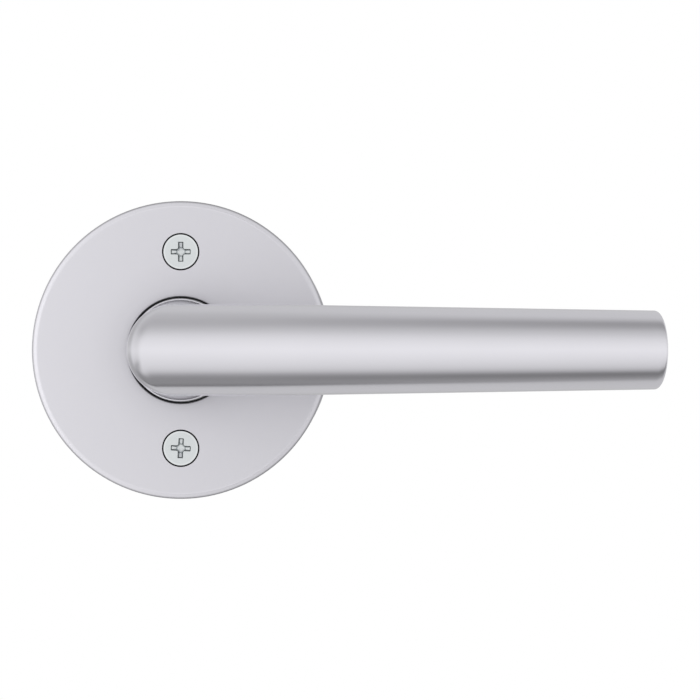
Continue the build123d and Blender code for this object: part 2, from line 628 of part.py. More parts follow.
def make_mounting_screws():
    """Two flat-head machine screws with cross recesses."""
    tip = HEAD_TOP - SCREW_LENGTH
    cone_end = HEAD_TOP - HEAD_RIM - (HEAD_RADIUS - SCREW_RADIUS) / SINK_SLOPE
    thread_start = HEAD_TOP - PLAIN_SHANK
    turns = int((thread_start - tip) / THREAD_PITCH) - 1
    flank = THREAD_FLANK * THREAD_PITCH
    with BuildPart() as screw:
        with BuildSketch(Plane.XZ):
            with BuildLine():
                outline = [
                    (0, HEAD_TOP),
                    (HEAD_RADIUS - HEAD_BEVEL, HEAD_TOP),
                    (HEAD_RADIUS, HEAD_TOP - HEAD_BEVEL),
                    (HEAD_RADIUS, HEAD_TOP - HEAD_RIM),
                    (SCREW_RADIUS, cone_end),
                ]
                for turn in range(turns):
                    crest = thread_start - turn * THREAD_PITCH
                    outline.append((SCREW_RADIUS, crest))
                    outline.append((SCREW_RADIUS - THREAD_DEPTH, crest - flank))
                    outline.append((SCREW_RADIUS, crest - 2 * flank))
                outline.append((SCREW_RADIUS - THREAD_DEPTH, tip))
                outline.append((0, tip))
                Polyline(outline, close=True)
            make_face()
        revolve(axis=Axis.Z)
        with BuildSketch(Plane.XY.offset(HEAD_TOP)):
            recess_sketch(*RECESS_MOUTH)
        with BuildSketch(Plane.XY.offset(HEAD_TOP - RECESS_DEPTH)):
            recess_sketch(*RECESS_FLOOR)
        loft(mode=Mode.SUBTRACT)
    upper = INSIDE_FACE.location * Pos(Y=SCREW_OFFSET) * screw.part
    lower = INSIDE_FACE.location * Pos(Y=-SCREW_OFFSET) * Rot(Z=RECESS_TURN) * screw.part
    return Part(children=[upper, lower])


# ---------------------------------------------------------------- one STEP file for each piece
def save(part, name):
    """Labels a finished piece and writes it under its own name."""
    part.label = name
    export_step(part, f"parts/{name}.step")


TRIM_PIECES = {
    "lever": make_lever(),
    "mounting_plate": make_mounting_plate(),
    "plate_bushing": make_plate_bushing(),
    "rose_bearing": make_rose_bearing(),
    "spring_cage": make_spring_cage(),
    "cage_rivets": make_cage_rivets(),
    "driver": make_driver(),
    "hub": make_hub(),
    "thrust_washer": make_thrust_washer(),
    "retaining_ring": make_retaining_ring(),
    "return_spring": make_return_spring(),
    "lever_catch": make_lever_catch(),
    "catch_spring": make_catch_spring(),
}

os.makedirs("parts", exist_ok=True)
for side, face in DOOR_FACES.items():
    for name, piece in TRIM_PIECES.items():
        save(face.location * piece, f"{side}_{name}")
    save(face.location * make_rose(with_screws=side == "inside"), f"{side}_rose")
save(make_spindle(), "spindle")
save(make_posts(), "outside_posts")
save(make_mounting_screws(), "mounting_screws")
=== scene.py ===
import json
import math

import bmesh
import bpy
from mathutils import Matrix, Vector


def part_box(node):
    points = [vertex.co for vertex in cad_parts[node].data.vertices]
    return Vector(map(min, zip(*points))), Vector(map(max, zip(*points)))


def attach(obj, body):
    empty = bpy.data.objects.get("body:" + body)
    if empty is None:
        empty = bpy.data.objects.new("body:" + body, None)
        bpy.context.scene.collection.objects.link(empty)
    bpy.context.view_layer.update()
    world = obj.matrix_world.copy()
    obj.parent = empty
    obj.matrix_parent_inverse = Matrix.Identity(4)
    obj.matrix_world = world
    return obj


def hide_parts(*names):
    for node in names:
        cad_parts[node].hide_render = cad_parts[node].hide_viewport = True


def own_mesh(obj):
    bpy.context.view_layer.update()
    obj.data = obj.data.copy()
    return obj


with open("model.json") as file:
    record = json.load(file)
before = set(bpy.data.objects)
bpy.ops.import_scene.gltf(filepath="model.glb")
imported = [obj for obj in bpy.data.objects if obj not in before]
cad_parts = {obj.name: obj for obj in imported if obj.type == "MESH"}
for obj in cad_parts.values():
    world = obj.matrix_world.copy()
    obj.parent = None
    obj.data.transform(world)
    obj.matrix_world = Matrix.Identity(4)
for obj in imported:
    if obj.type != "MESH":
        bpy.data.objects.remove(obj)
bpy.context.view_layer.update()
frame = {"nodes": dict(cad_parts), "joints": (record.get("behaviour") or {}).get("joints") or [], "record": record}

# Looks of a passage lever lockset.  Everything is in metres in the row frame: +X along the levers,
# +Y through the door from the inside to the outside, +Z up.

# ---------------------------------------------------------------- sizes, from the frame
MM = 0.001
DOOR_THICKNESS = frame["joints"][1]["pos_m"][1] - frame["joints"][0]["pos_m"][1]
ROSE_DEPTH = -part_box("inside_rose")[0].y
LEVER_LOW, LEVER_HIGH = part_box("inside_lever")
NECK_RADIUS = -LEVER_LOW.x
NECK_FOOT = -LEVER_HIGH.y

# The lever's own shape, as in its CAD solid.
NECK_BEVEL = 0.3 * MM
COLLAR_TOP = ROSE_DEPTH + 0.4 * MM
COLLAR_EDGE = 0.25 * MM
TAPER_TOP = 34.0 * MM  # where the neck's straight taper ends
ARM_RADIUS = 9.81 * MM
TIP_RADIUS = 8.46 * MM
ARM_HEIGHT = -LEVER_LOW.y - ARM_RADIUS
CORNER_RADIUS = 4.3 * MM  # of the elbow's outer corner
INNER_CORNER = 0.8 * MM  # of the elbow's inner corner
SHOULDER_START = 10.3 * MM
SHOULDER_LENGTH = 20.0 * MM
ARM_LENGTH = 103.8 * MM
END_SLANT = math.tan(math.radians(13.3))
END_EDGE = 0.6 * MM
END_PULL = 0.08 * MM  # keeps the smooth end inside the CAD's box
BORE_RADIUS = 8.05 * MM
BORE_TOP = 29.5 * MM
CATCH_HEIGHT = -sum(corner.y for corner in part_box("inside_lever_catch")) / 2
CATCH_HOLE = 1.7 * MM  # radius
CATCH_SIDE = -10.5 * MM  # middle of the neck's wall where the hole is cut

SCREW_LOW, SCREW_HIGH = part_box("mounting_screws")
HEAD_TOP = -SCREW_LOW.y
HEAD_RADIUS = SCREW_HIGH.x
HEAD_RIM = 0.75 * MM  # straight edge of the head, under its bevel
HEAD_BEVEL = 0.1 * MM
SCREW_OFFSET = SCREW_HIGH.z - HEAD_RADIUS
SCREW_RADIUS = 2.08 * MM
SCREW_LENGTH = SCREW_HIGH.y - SCREW_LOW.y
HEAD_ANGLE = 82  # degrees, across the head's cone
PLAIN_SHANK = 9.0 * MM
THREAD_PITCH = 0.794 * MM
THREAD_DEPTH = 0.42 * MM
LAND_RADIUS = 2.3 * MM  # start of the head's flat ring, just outside the recess
# The cross recess, from the head's top down: depth, reach and half width of the wings, and radius
# of the middle, in millimetres.
RECESS_RINGS = (
    (0.00, 2.24, 0.60, 1.05),
    (0.04, 2.20, 0.57, 1.00),
    (0.55, 2.07, 0.40, 0.88),
    (0.62, 2.02, 0.38, 0.86),
    (0.86, 1.08, 0.36, 0.80),
    (1.60, 0.80, 0.32, 0.70),
    (1.80, 0.00, 0.00, 0.00),
)
RECESS_TURN = 3.3  # degrees that the lower screw stopped from upright

# Camera: level, square to the rose, its axis beside the spindle.
CAMERA_DISTANCE = 0.9685  # from the rose's face
CAMERA_ASIDE = 0.0379
VIEW_WIDTH = 0.1567  # width of the picture at the rose's face
SENSOR_WIDTH = 36.0


# ---------------------------------------------------------------- node helpers
def fill(tree, socket, value):
    """Sets an input from a plain value or from another node's output."""
    if isinstance(value, bpy.types.NodeSocket):
        tree.links.new(value, socket)
    else:
        socket.default_value = value


def add_node(tree, kind, **inputs):
    """Adds a node and fills its inputs by name."""
    node = tree.nodes.new(kind)
    for name, value in inputs.items():
        fill(tree, node.inputs[name.replace("_", " ")], value)
    return node


def math_node(tree, operation, *values):
    """Adds a Math node and returns its output."""
    node = tree.nodes.new("ShaderNodeMath")
    node.operation = operation
    for socket, value in zip(node.inputs, values):
        fill(tree, socket, value)
    return node.outputs["Value"]


def spread(tree, value, low, high):
    """Maps a value from 0..1 to low..high."""
    node = add_node(tree, "ShaderNodeMapRange", Value=value, To_Min=low, To_Max=high)
    return node.outputs["Result"]


def noise(tree, vector, scale, detail=3.0, roughness=0.55):
    """Adds a noise texture and returns its value."""
    node = add_node(
        tree, "ShaderNodeTexNoise",
        Vector=vector, Scale=scale, Detail=detail, Roughness=roughness,
    )
    return node.outputs["Fac"]


def weigh(tree, first, first_share, second, second_share):
    """The sum of two values, each times its share."""
    return math_node(
        tree, "ADD",
        math_node(tree, "MULTIPLY", first, first_share),
        math_node(tree, "MULTIPLY", second, second_share),
    )


def distance(tree, x, y):
    """The length of a vector of two parts."""
    squares = math_node(
        tree, "ADD", math_node(tree, "POWER", x, 2), math_node(tree, "POWER", y, 2),
    )
    return math_node(tree, "SQRT", squares)


def combine(tree, x, y, z):
    """Joins three values into a vector."""
    return add_node(tree, "ShaderNodeCombineXYZ", X=x, Y=y, Z=z).outputs["Vector"]


def separate(tree, vector):
    """The outputs X, Y and Z of a vector."""
    return add_node(tree, "ShaderNodeSeparateXYZ", Vector=vector).outputs


def object_place(tree):
    """The point's place in the row frame, in metres."""
    return tree.nodes.new("ShaderNodeTexCoord").outputs["Object"]


def round_spindle(tree):
    """Radius from the spindle axis, turns round it, and depth along it."""
    parts = separate(tree, object_place(tree))
    angle = math_node(tree, "ARCTAN2", parts["Z"], parts["X"])
    turns = math_node(tree, "DIVIDE", angle, 2 * math.pi)
    return distance(tree, parts["X"], parts["Z"]), turns, parts["Y"]


def new_metal(name, color, roughness):
    """A metal with its shader ready: returns the material, its tree and its shader."""
    material = bpy.data.materials.new(name)
    material.use_nodes = True
    shader = material.node_tree.nodes["Principled BSDF"]
    shader.inputs["Base Color"].default_value = (*color, 1)
    shader.inputs["Metallic"].default_value = 1.0
    shader.inputs["Roughness"].default_value = roughness
    return material, material.node_tree, shader


def set_bump(tree, shader, height, depth):
    """Bumps the shader by a height of 0..1 times a depth in metres."""
    bump = add_node(tree, "ShaderNodeBump", Height=height, Distance=depth, Strength=1.0)
    tree.links.new(bump.outputs["Normal"], shader.inputs["Normal"])


# A Mix node has sockets of the same names for each kind of data: these are its colours.
MIX_FIRST = 6
MIX_SECOND = 7
MIX_RESULT = 2


def blend(tree, share, first, second):
    """Mixes two colours by a share of 0..1 and returns the result."""
    mix = add_node(tree, "ShaderNodeMix", Factor=share)
    mix.data_type = "RGBA"
    fill(tree, mix.inputs[MIX_FIRST], first)
    fill(tree, mix.inputs[MIX_SECOND], second)
    return mix.outputs[MIX_RESULT]


def soft_share(tree, value, low, high):
    """A soft step of 0..1 as the value goes from low to high."""
    step = add_node(tree, "ShaderNodeMapRange", Value=value, From_Min=low, From_Max=high)
    step.interpolation_type = "SMOOTHSTEP"
    return step.outputs["Result"]


def set_stops(ramp, stops):
    """Sets a ramp's stops from (position, level) pairs."""
    while len(ramp.elements) < len(stops):
        ramp.elements.new(0.5)
    for element, (position, level) in zip(ramp.elements, stops):
        element.position = position
        element.color = (level, level, level, 1)


def set_tint(tree, shader, mask, low, high):
    """Colours the shader from low to high by a mask of 0..1."""
    tree.links.new(blend(tree, mask, (*low, 1), (*high, 1)), shader.inputs["Base Color"])


# ---------------------------------------------------------------- materials
def satin_lever():
    """Satin chrome on the cast lever: fine grain brushed along the arm, faint handling marks."""
    material, tree, shader = new_metal("satin_lever", (0.795, 0.785, 0.830), 0.24)
    brush = tree.nodes.new("ShaderNodeUVMap")
    brush.uv_map = "brush"
    along = separate(tree, brush.outputs["UV"])
    grain_place = combine(tree, math_node(tree, "MULTIPLY", along["X"], 0.02), along["Y"], 0.0)
    grain = noise(tree, grain_place, 9000, 2.0)
    hairs = noise(tree, grain_place, 2500, 3.0)
    handling = noise(tree, object_place(tree), 45, 4.0)
    cloud = weigh(tree, grain, 0.5, handling, 0.5)
    tree.links.new(spread(tree, cloud, 0.15, 0.22), shader.inputs["Roughness"])
    # Painted shade: the neck is coloured near black below the rose's face, where it sits in the gap of the rose's
    # hole.
    clear = soft_share(tree, along["X"], ROSE_DEPTH - 0.3 * MM, ROSE_DEPTH + 0.15 * MM)
    metal = blend(tree, handling, (0.775, 0.766, 0.812, 1), (0.815, 0.805, 0.850, 1))
    tree.links.new(blend(tree, clear, (0.06, 0.06, 0.06, 1), metal), shader.inputs["Base Color"])
    set_bump(tree, shader, weigh(tree, grain, 0.6, hairs, 0.4), 1.2e-6)
    return material


TONE_REACH = 40 * MM  # radius at the end of the rose's tone ramp
TONE_TOP = 1.2  # tone that the ramp's white stands for
# Tone of the rose at each radius in millimetres: painted shade by the neck, a painted highlight on the rim's bevel
# and a painted dark outline at its edge.
ROSE_PAINTED_LIGHT = (
    (12.0, 0.74), (12.3, 0.80), (12.8, 0.88), (14.0, 0.94), (17.0, 0.98), (20.0, 1.0),
    (31.9, 1.0), (32.4, 1.14), (32.9, 1.14), (33.1, 0.62), (33.28, 0.62), (33.32, 0.95),
)


def satin_rose():
    """Satin chrome on the pressed rose: even blasted grain with a faint turned sheen."""
    material, tree, shader = new_metal("satin_rose", (0.79, 0.78, 0.825), 0.30)
    radius, angle, depth = round_spindle(tree)
    rings = combine(tree, radius, math_node(tree, "MULTIPLY", angle, 0.004), depth)
    turned = noise(tree, rings, 7000, 2.0)
    grain = noise(tree, object_place(tree), 5200, 2.0)
    handling = noise(tree, object_place(tree), 38, 4.0)
    shader.inputs["Metallic"].default_value = 0.72  # the blasted face scatters a share of the light
    tree.links.new(spread(tree, handling, 0.34, 0.42), shader.inputs["Roughness"])
    # Painted light: a tone ramp by radius shades the rose by the neck, lights its rim's bevel and darkens its
    # edge.
    share = math_node(tree, "MULTIPLY", radius, 1 / TONE_REACH)
    painted_tones = add_node(tree, "ShaderNodeValToRGB", Fac=share)
    stops = [(mm * MM / TONE_REACH, tone / TONE_TOP) for mm, tone in ROSE_PAINTED_LIGHT]
    set_stops(painted_tones.color_ramp, stops)
    face = blend(tree, handling, (0.690, 0.681, 0.722, 1), (0.718, 0.709, 0.751, 1))
    color = add_node(tree, "ShaderNodeVectorMath", Vector=face)
    color.operation = "MULTIPLY"
    tree.links.new(painted_tones.outputs["Color"], color.inputs[1])
    lifted = tree.nodes.new("ShaderNodeVectorMath")
    lifted.operation = "SCALE"
    lifted.inputs["Scale"].default_value = TONE_TOP
    tree.links.new(color.outputs["Vector"], lifted.inputs[0])
    # Painted shade: walls sunk below the face, in the neck hole and the countersinks, are coloured dark.  The
    # countersinks end within 30 mm of the axis.
    from_middle = math_node(tree, "SUBTRACT", depth, DOOR_THICKNESS / 2)
    out = math_node(tree, "SUBTRACT", math_node(tree, "ABSOLUTE", from_middle), DOOR_THICKNESS / 2)
    level = soft_share(tree, out, ROSE_DEPTH - 0.30 * MM, ROSE_DEPTH - 0.02 * MM)
    outer = soft_share(tree, radius, 30.0 * MM, 31.0 * MM)
    unshaded = math_node(tree, "MAXIMUM", level, outer)
    finish = blend(tree, unshaded, (0.05, 0.05, 0.05, 1), lifted.outputs["Vector"])
    tree.links.new(finish, shader.inputs["Base Color"])
    set_bump(tree, shader, weigh(tree, turned, 0.45, grain, 0.55), 1.5e-6)
    return material


def zinc_screw():
    """Bright zinc on the screws: cool, slightly green, with soft passivate clouds."""
    material, tree, shader = new_metal("zinc_screw", (0.80, 0.83, 0.84), 0.33)
    place = object_place(tree)
    clouds = noise(tree, place, 420, 4.0, 0.6)
    fine = noise(tree, place, 6000, 2.0)
    tree.links.new(spread(tree, clouds, 0.24, 0.44), shader.inputs["Roughness"])
    parts = separate(tree, place)
    up = math_node(tree, "SUBTRACT", math_node(tree, "ABSOLUTE", parts["Z"]), SCREW_OFFSET)
    radius = distance(tree, parts["X"], up)
    zinc = blend(tree, clouds, (0.69, 0.73, 0.74, 1), (0.80, 0.82, 0.83, 1))
    # Painted highlight: the head's rim is coloured brighter.
    edge = soft_share(tree, radius, HEAD_RADIUS - 0.50 * MM, HEAD_RADIUS - 0.25 * MM)
    rim_highlight = math_node(tree, "MULTIPLY", edge, 0.6)
    zinc = blend(tree, rim_highlight, zinc, (0.90, 0.92, 0.93, 1))
    # Painted shade: the recess's steep walls and the head's edge in the countersink are coloured dark.
    depth = math_node(tree, "ADD", parts["Y"], HEAD_TOP)
    below = soft_share(tree, depth, 0.03 * MM, 0.08 * MM)
    above = math_node(tree, "SUBTRACT", 1, soft_share(tree, depth, 0.50 * MM, 0.66 * MM))
    within = math_node(tree, "LESS_THAN", radius, 2.5 * MM)
    walls = math_node(tree, "MULTIPLY", math_node(tree, "MULTIPLY", below, above), within)
    rim = soft_share(tree, radius, HEAD_RADIUS - 0.08 * MM, HEAD_RADIUS - 0.01 * MM)
    recess_shade = math_node(tree, "MAXIMUM", math_node(tree, "MULTIPLY", walls, 0.8), rim)
    tree.links.new(blend(tree, recess_shade, zinc, (0.06, 0.07, 0.07, 1)), shader.inputs["Base Color"])
    set_bump(tree, shader, weigh(tree, clouds, 0.7, fine, 0.3), 1.0e-5)
    return material


def zinc_plate():
    """Matt zinc on pressed steel: spangles, dull clouds and a fine grain."""
    material, tree, shader = new_metal("zinc_plate", (0.74, 0.76, 0.78), 0.42)
    place = object_place(tree)
    spangle = add_node(tree, "ShaderNodeTexVoronoi", Vector=place, Scale=600.0).outputs["Color"]
    tone = add_node(tree, "ShaderNodeSeparateColor", Color=spangle).outputs["Red"]
    clouds = noise(tree, place, 160, 4.0)
    mask = weigh(tree, tone, 0.35, clouds, 0.65)
    tree.links.new(spread(tree, mask, 0.33, 0.52), shader.inputs["Roughness"])
    set_tint(tree, shader, mask, (0.62, 0.64, 0.65), (0.82, 0.84, 0.86))
    set_bump(tree, shader, noise(tree, place, 3500, 3.0), 6.0e-6)
    return material


# Plain steels: dark and light tone, lowest and highest roughness, and the grain's scale and depth.
STEELS = {
    "pressed_steel": ((0.46, 0.46, 0.46), (0.66, 0.67, 0.68), 0.28, 0.46, 1800, 5e-6),
    "rivet_steel": ((0.58, 0.60, 0.60), (0.76, 0.77, 0.78), 0.26, 0.42, 2400, 8e-6),
    "hardened_steel": ((0.24, 0.24, 0.25), (0.42, 0.42, 0.42), 0.24, 0.40, 3000, 4e-6),
    "sintered_steel": ((0.20, 0.20, 0.21), (0.34, 0.34, 0.35), 0.42, 0.60, 2200, 2e-5),
    "spring_steel": ((0.10, 0.10, 0.11), (0.22, 0.22, 0.23), 0.22, 0.38, 4000, 3e-6),
    "bar_steel": ((0.56, 0.57, 0.57), (0.74, 0.75, 0.76), 0.24, 0.40, 2600, 5e-6),
}


def worked_steel(name):
    """Plain steel of one finish: oil and heat clouds over a fine machined or blasted grain."""
    dark, light, rough_low, rough_high, scale, depth = STEELS[name]
    material, tree, shader = new_metal(name, light, rough_high)
    place = object_place(tree)
    clouds = noise(tree, place, 120, 5.0, 0.6)
    tree.links.new(spread(tree, clouds, rough_low, rough_high), shader.inputs["Roughness"])
    set_tint(tree, shader, clouds, dark, light)
    set_bump(tree, shader, noise(tree, place, scale, 3.0), depth)
    return material


def turned_metal(name, dark, light, rough_low, rough_high):
    """Metal turned on a lathe: fine rings round the spindle axis and a little oil."""
    material, tree, shader = new_metal(name, light, rough_high)
    radius, angle, depth = round_spindle(tree)
    place = combine(tree, radius, math_node(tree, "MULTIPLY", angle, 0.0005), depth)
    rings = noise(tree, place, 6500, 2.0)
    clouds = noise(tree, object_place(tree), 150, 4.0)
    tree.links.new(spread(tree, clouds, rough_low, rough_high), shader.inputs["Roughness"])
    set_tint(tree, shader, clouds, dark, light)
    set_bump(tree, shader, rings, 8.0e-6)
    return material


def moulded_acetal():
    """Black moulded acetal with a faint spark-eroded grain."""
    material, tree, shader = new_metal("moulded_acetal", (0.02, 0.02, 0.022), 0.5)
    shader.inputs["Metallic"].default_value = 0.0
    place = object_place(tree)
    grain = noise(tree, place, 2600, 3.0)
    tree.links.new(spread(tree, grain, 0.42, 0.58), shader.inputs["Roughness"])
    set_tint(tree, shader, noise(tree, place, 90), (0.016, 0.016, 0.018), (0.028, 0.028, 0.030))
    set_bump(tree, shader, grain, 1.0e-5)
    return material


def make_materials():
    """One finished material for each slot of the record."""
    finishes = {
        "satin_chrome": satin_rose(),
        "zinc_plated_screw": zinc_screw(),
        "zinc_plated_steel": zinc_plate(),
    }
    for name in STEELS:
        finishes[name] = worked_steel(name)
    finishes["bronze"] = turned_metal("bronze", (0.46, 0.30, 0.15), (0.70, 0.52, 0.30), 0.30, 0.46)
    finishes["acetal"] = moulded_acetal()
    return finishes


# ---------------------------------------------------------------- mesh helpers
SHARP_ANGLE = math.radians(38)


def to_inside(x, up, out):
    """A trim point (along the lever, up, away from the door) placed on the inside face."""
    return Vector((x, -out, up))


def to_outside(x, up, out):
    """The same trim turned half round about the lever direction, on the outside face."""
    return Vector((x, DOOR_THICKNESS + out, -up))


def object_from(name, mesh):
    """Links a new object for a mesh into the scene."""
    piece = bpy.data.objects.new(name, mesh)
    bpy.context.scene.collection.objects.link(piece)
    return piece


def skin_rings(name, rings, uvs=None):
    """A mesh through closed rings of points, from one ring to the next, smooth shaded."""
    count = len(rings[0])
    mesh = bpy.data.meshes.new(name)
    faces = []
    for row in range(len(rings) - 1):
        for column in range(count):
            after = (column + 1) % count
            faces.append((
                row * count + column,
                row * count + after,
                (row + 1) * count + after,
                (row + 1) * count + column,
            ))
    mesh.from_pydata([point for ring in rings for point in ring], [], faces)
    if uvs is not None:
        layer = mesh.uv_layers.new(name="brush")
        for polygon in mesh.polygons:
            row, column = divmod(polygon.index, count)
            corners = ((row, column), (row, column + 1), (row + 1, column + 1), (row + 1, column))
            for loop, (r, c) in zip(polygon.loop_indices, corners):
                layer.data[loop].uv = (uvs[r][0], uvs[r][1] * c / count)
    mesh.polygons.foreach_set("use_smooth", [True] * len(mesh.polygons))
    return mesh


def close_mesh(mesh):
    """Welds coincident points, which closes the ends, and makes the normals agree."""
    work = bmesh.new()
    work.from_mesh(mesh)
    bmesh.ops.remove_doubles(work, verts=work.verts, dist=1e-7)
    bmesh.ops.recalc_face_normals(work, faces=work.faces)
    work.to_mesh(mesh)
    work.free()


# ---------------------------------------------------------------- lever
LEVER_SIDES = 144
BORE_STEPS = 28
TAPER_STEPS = 40
EDGE_STEPS = 8
JOIN_STEPS = 12  # from the neck into the elbow, and from the elbow into the arm
ELBOW_STEPS = 16
ARM_STEPS = 80
CUTTER_SIDES = 48
CUTTER_LENGTH = 8 * MM


def quarter_round(radius, height, edge, steps):
    """Radius and height of rings over a rounded edge, from the wall to the top."""
    profile = []
    for step in range(steps + 1):
        turn = math.pi / 2 * step / steps
        profile.append((radius - edge * (1 - math.cos(turn)), height + edge * math.sin(turn)))
    return profile


def neck_profile():
    """Radius and height of each ring from the bore's floor round the foot and up to the elbow."""
    profile = [(0.0, BORE_TOP), (BORE_RADIUS, BORE_TOP)]
    for step in range(1, BORE_STEPS + 1):
        profile.append((BORE_RADIUS, BORE_TOP + (NECK_FOOT - BORE_TOP) * step / BORE_STEPS))
    profile.append((NECK_RADIUS - NECK_BEVEL, NECK_FOOT))
    profile.append((NECK_RADIUS, NECK_FOOT + NECK_BEVEL))
    profile += quarter_round(NECK_RADIUS, COLLAR_TOP, COLLAR_EDGE, EDGE_STEPS)
    start_radius = NECK_RADIUS - COLLAR_EDGE
    start = COLLAR_TOP + COLLAR_EDGE
    for step in range(1, TAPER_STEPS + 1):
        t = step / TAPER_STEPS
        radius = ARM_RADIUS + (start_radius - ARM_RADIUS) * (1 - t)
        profile.append((radius, start + (TAPER_TOP - start) * t))
    return profile


def arm_radius(x):
    """Arm radius along its length: a soft shoulder, then a straight taper."""
    middle = SHOULDER_START + SHOULDER_LENGTH / 2
    taper = (ARM_RADIUS - TIP_RADIUS) / (ARM_LENGTH - middle)
    t = min(max((x - SHOULDER_START) / SHOULDER_LENGTH, 0), 1)
    beyond = max(x - SHOULDER_START - SHOULDER_LENGTH, 0)
    return ARM_RADIUS - taper * (SHOULDER_LENGTH * t * t / 2 + beyond)


def on_elbow(angle, turn):
    """Place of a point on the elbow's rounded corner, as (x, up, out).

    The angle runs round the section from the outer side, the turn from the neck to the arm.  The
    rounding is widest at the outer side; from the flanks inwards it is a small fillet.
    """
    across = ARM_RADIUS * math.cos(angle)
    corner = math.hypot(CORNER_RADIUS * max(math.cos(angle), 0), INNER_CORNER)
    x = -across + corner * (1 - math.cos(turn))
    out = ARM_HEIGHT + across - corner * (1 - math.sin(turn))
    return x, ARM_RADIUS * math.sin(angle), out


def ring_between(start, end, share):
    """The ring of points at a share of the way from one ring to another."""
    ring = []
    for p, q in zip(start, end):
        ring.append(tuple(a + (b - a) * share for a, b in zip(p, q)))
    return ring


def neck_ring(angles, radius, height):
    """A level ring round the spindle axis, from the outer side of the elbow."""
    return [(-radius * math.cos(a), radius * math.sin(a), height) for a in angles]


def arm_ring(angles, radius, x, slant):
    """A ring round the arm's axis that leans by a slant."""
    ring = []
    for a in angles:
        across = radius * math.cos(a)
        ring.append((x + across * slant, radius * math.sin(a), ARM_HEIGHT + across))
    return ring


def lever_rings():
    """Rings of (x, up, out) points from the bore's floor to the end's middle, and their lengths."""
    angles = [2 * math.pi * k / LEVER_SIDES for k in range(LEVER_SIDES)]
    rings = []
    lengths = []
    for radius, height in neck_profile():
        rings.append(neck_ring(angles, radius, height))
        lengths.append(height)

    clear = 1.5 * INNER_CORNER  # keeps the neck's and the arm's rings off the inner corner
    neck_end = ARM_HEIGHT - ARM_RADIUS - clear
    arm_start = ARM_RADIUS + clear
    foot = neck_ring(angles, ARM_RADIUS, neck_end)
    first = [on_elbow(a, 0) for a in angles]
    last = [on_elbow(a, math.pi / 2) for a in angles]
    root = arm_ring(angles, ARM_RADIUS, arm_start, 0)
    for step in range(JOIN_STEPS):
        share = step / JOIN_STEPS
        rings.append(ring_between(foot, first, share))
        lengths.append(neck_end + (ARM_HEIGHT - neck_end) * share)
    for step in range(ELBOW_STEPS + 1):
        turn = math.pi / 2 * step / ELBOW_STEPS
        rings.append([on_elbow(a, turn) for a in angles])
        lengths.append(ARM_HEIGHT)
    for step in range(1, JOIN_STEPS + 1):
        share = step / JOIN_STEPS
        rings.append(ring_between(last, root, share))
        lengths.append(ARM_HEIGHT + arm_start * share)

    # The arm's rings lean gradually into the slanted end.
    end = ARM_LENGTH - END_PULL
    reach = end - END_EDGE - arm_start
    for step in range(1, ARM_STEPS + 1):
        t = step / ARM_STEPS
        x = arm_start + reach * t
        rings.append(arm_ring(angles, arm_radius(x), x, END_SLANT * t))
        lengths.append(ARM_HEIGHT + x)
    caps = quarter_round(TIP_RADIUS, end - END_EDGE, END_EDGE, EDGE_STEPS)[1:]
    caps += [((TIP_RADIUS - END_EDGE) * share, end) for share in (0.7, 0.35, 0.0)]
    for radius, x in caps:
        rings.append(arm_ring(angles, radius, x, END_SLANT))
        lengths.append(ARM_HEIGHT + x)
    return rings, lengths


def catch_cutter(place):
    """A round bar along the lever direction, through the neck's wall at the catch hole."""
    mesh = bpy.data.meshes.new("cutter")
    middle = Matrix.Translation(place(CATCH_SIDE, 0, CATCH_HEIGHT))
    work = bmesh.new()
    bmesh.ops.create_cone(
        work,
        segments=CUTTER_SIDES,
        radius1=CATCH_HOLE,
        radius2=CATCH_HOLE,
        depth=CUTTER_LENGTH,
        cap_ends=True,
        matrix=middle @ Matrix.Rotation(math.pi / 2, 4, "Y"),
    )
    work.to_mesh(mesh)
    work.free()
    return object_from("cutter", mesh)


def make_lever(side, place, material):
    """The lever's skin with its catch hole cut through the neck."""
    name = f"{side}_lever_skin"
    rings, lengths = lever_rings()
    placed = [[place(*point) for point in ring] for ring in rings]
    mesh = skin_rings(name, placed, [(length, 2 * math.pi * ARM_RADIUS) for length in lengths])
    close_mesh(mesh)
    lever = object_from(name, mesh)
    cutter = catch_cutter(place)
    cut = lever.modifiers.new("catch_hole", "BOOLEAN")
    cut.object = cutter
    cut.solver = "EXACT"
    bpy.context.view_layer.update()
    evaluated = lever.evaluated_get(bpy.context.evaluated_depsgraph_get())
    lever.data = bpy.data.meshes.new_from_object(evaluated)
    lever.modifiers.clear()
    bpy.data.objects.remove(cutter)
    lever.data.materials.clear()
    lever.data.materials.append(material)
    lever.data.set_sharp_from_angle(angle=SHARP_ANGLE)
    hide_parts(f"{side}_lever")
    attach(lever, f"{side}_handle")


# ---------------------------------------------------------------- mounting screws
SCREW_SIDES = 144
THREAD_ROWS = 8  # rings in each pitch
FADE_ROWS = 12
TIP_ROWS = 6
TIP_NARROWING = 0.6  # share of the thread's depth
VALLEY_SLOPE = 2.6  # how steeply a valley's sides rise


def recess_radius(angle, reach, half_width, corner):
    """Outline of a cross recess at an angle: four wings with hollow corners between them."""
    fold = abs((angle + math.pi / 4) % (math.pi / 2) - math.pi / 4)
    along_tip = reach / math.cos(fold)
    along_side = half_width / max(math.sin(fold), 1e-6)
    return max(min(along_tip, along_side), corner)


